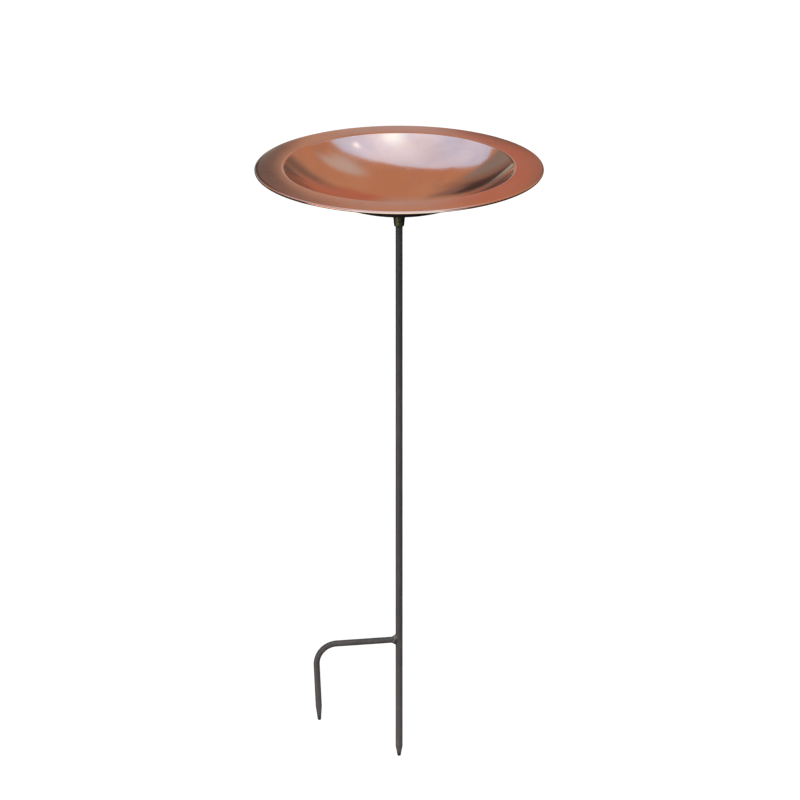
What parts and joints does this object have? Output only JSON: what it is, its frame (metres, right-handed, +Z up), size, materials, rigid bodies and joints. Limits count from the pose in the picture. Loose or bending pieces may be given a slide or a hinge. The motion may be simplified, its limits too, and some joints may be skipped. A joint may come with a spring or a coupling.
{
  "type": "garden bird bath on a stake",
  "caption": "Shallow round copper bird bath with a wide flange and rolled edge, screwed on a thin steel ground stake with a side step prong.",
  "frame": {"origin": "on the pole's axis at the ground line, 140 mm above the point and just under the step, where the stake meets the soil once it is trodden in", "axes": "+Z up along the pole to the bowl; -X towards the step prong; the XZ plane is the mirror plane"},
  "size_m": [0.3556, 0.3556, 0.762],
  "materials": {
    "copper": "satin",
    "fitting_metal": "satin",
    "braze_metal": "satin",
    "coated_steel": "satin",
    "coated_weld": "matte"
  },
  "bodies": {
    "stake": {"stake_pole": "coated_steel", "step_prong": "coated_steel", "step_weld": "coated_weld"},
    "braze": {"braze_fillet": "braze_metal"},
    "basin": {"bowl": "copper", "socket_fitting": "fitting_metal"}
  },
  "joints": [
    {"name": "bowl_rise", "type": "slide", "parent": "stake", "child": "braze", "axis": [0, 0, 1], "range_m": [0, 0.01694]},
    {"name": "bowl_unscrew", "type": "hinge", "parent": "braze", "child": "basin", "pos_m": [0, 0, 0.5672], "axis": [0, 0, 1], "range_deg": [0, 4320]}
  ],
  "couplings": [
    {"joint": "bowl_rise", "follows": "bowl_unscrew", "m_per_rad": 0.00022459}
  ]
}
